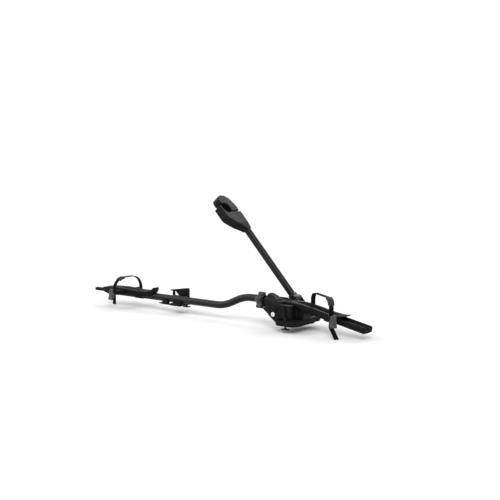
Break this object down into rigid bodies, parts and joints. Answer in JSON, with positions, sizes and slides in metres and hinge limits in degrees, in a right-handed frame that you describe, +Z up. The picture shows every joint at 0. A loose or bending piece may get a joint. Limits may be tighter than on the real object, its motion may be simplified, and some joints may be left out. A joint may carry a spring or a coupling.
{
  "type": "roof mounted upright bike carrier",
  "caption": "Upright bike carrier for a car roof: a bent rail with wheel trays and ratchet straps, feet for load bars, and a folding arm whose knob-driven claw grips the down tube",
  "frame": {"origin": "centre of the front foot's seat on the load bar, in the bike's mid plane", "axes": "+X to the front of the bike along the rail, +Y to the far side of the car where the arm stands, +Z up"},
  "size_m": [1.4548, 0.2181, 0.5261],
  "materials": {
    "black_metal": "black powder coat, satin",
    "black_plastic": "black moulded plastic, fine grain",
    "grey_plastic": "dark grey moulded plastic",
    "rubber": "black rubber, matte",
    "cable": "plastic-sheathed steel cable",
    "steel": "zinc-plated steel",
    "brass": "plain brass",
    "lock_chrome": "plated lock cylinder"
  },
  "bodies": {
    "carrier_base": {"rail_tube": "black_metal", "rear_end_cap": "black_plastic", "front_rail": "black_metal", "front_end_cap": "black_plastic", "front_foot": "black_plastic", "front_bar_pad": "rubber", "front_t_bolts": "steel", "front_clamp_nuts": "steel", "housing_shell": "black_plastic", "housing_cover": "black_plastic", "cover_screws": "steel", "spindle_guide": "steel", "spindle_bush": "brass", "rail_screws": "steel", "front_tray": "black_plastic", "tray_screws": "steel", "pivot_bracket": "black_metal", "fold_pins": "steel", "base_cable": "cable", "front_strap": "rubber", "front_rim_pad": "rubber", "front_strap_screw": "steel", "front_buckle_base": "black_plastic", "front_lever_pin": "steel"},
    "knob": {"torque_knob": "black_plastic", "knob_cap": "grey_plastic", "knob_spindle": "steel", "torque_spring": "steel", "clutch_ring": "steel"},
    "traveller": {"spindle_traveller": "brass"},
    "lock": {"lock_cylinder": "lock_chrome", "lock_cam": "steel"},
    "front_lever": {"front_buckle_lever": "grey_plastic"},
    "arm": {"arm_eye": "black_metal", "arm_tube": "black_metal", "claw_body": "black_plastic", "near_jaw_pad": "rubber", "jaw_pin": "steel", "arm_cable": "cable"},
    "jaw": {"far_jaw": "black_plastic", "far_jaw_pad": "rubber"},
    "rod": {"pull_rod": "steel"},
    "rear_wheel_tray": {"rear_tray": "black_plastic", "tray_keeper": "black_plastic", "keeper_screws": "steel", "rear_strap": "rubber", "rear_rim_pad": "rubber", "rear_strap_screw": "steel", "rear_buckle_base": "black_plastic", "rear_lever_pin": "steel"},
    "rear_lever": {"rear_buckle_lever": "grey_plastic"},
    "rear_clamp": {"rear_foot": "black_plastic", "rear_bar_pad": "rubber", "rail_nut": "steel", "rear_t_bolt": "steel", "handle_pin": "steel"},
    "handle": {"clamp_handle": "black_plastic"}
  },
  "joints": [
    {"name": "arm_fold", "type": "hinge", "parent": "carrier_base", "child": "arm", "pos_m": [-0.05, 0.063, 0.088], "axis": [0, 1, 0], "range_deg": [-43, 38]},
    {"name": "knob_turn", "type": "hinge", "parent": "carrier_base", "child": "knob", "pos_m": [-0.146, -0.038, 0.088], "axis": [-1, 0, 0], "range_deg": [-30, 330]},
    {"name": "traveller_slide", "type": "slide", "parent": "carrier_base", "child": "traveller", "axis": [1, 0, 0], "range_m": [-0.0012, 0.0132]},
    {"name": "jaw_swing", "type": "hinge", "parent": "arm", "child": "jaw", "pos_m": [-0.33713, 0.059, 0.40134], "axis": [-0.7373, 0, -0.6756], "range_deg": [-5, 55]},
    {"name": "rod_slide", "type": "slide", "parent": "arm", "child": "rod", "axis": [-0.6756, 0, 0.7373], "range_m": [-0.0012, 0.0132]},
    {"name": "lock_turn", "type": "hinge", "parent": "carrier_base", "child": "lock", "pos_m": [-0.067, -0.07, 0.044], "axis": [0, -1, 0], "range_deg": [0, 90]},
    {"name": "front_lever_open", "type": "hinge", "parent": "carrier_base", "child": "front_lever", "pos_m": [0.20151, -0.05279, 0.06], "axis": [-0.5344, -0.8453, 0], "range_deg": [0, 70]},
    {"name": "rear_lever_open", "type": "hinge", "parent": "rear_wheel_tray", "child": "rear_lever", "pos_m": [-0.93631, -0.09211, 0.06], "axis": [-0.9925, 0.1219, 0], "range_deg": [0, 70]},
    {"name": "rear_tray_slide", "type": "slide", "parent": "carrier_base", "child": "rear_wheel_tray", "axis": [1, 0, 0], "range_m": [-0.05, 0]},
    {"name": "rear_foot_slide", "type": "slide", "parent": "carrier_base", "child": "rear_clamp", "axis": [1, 0, 0], "range_m": [0, 0.11]},
    {"name": "handle_swing", "type": "hinge", "parent": "rear_clamp", "child": "handle", "pos_m": [-0.616, 0.046, 0.0431], "axis": [-1, 0, 0], "range_deg": [0, 95]}
  ],
  "couplings": [
    {"joint": "jaw_swing", "follows": "knob_turn", "ratio": 0.16667},
    {"joint": "rod_slide", "follows": "knob_turn", "m_per_rad": 0.00228},
    {"joint": "traveller_slide", "follows": "knob_turn", "m_per_rad": 0.00228}
  ]
}
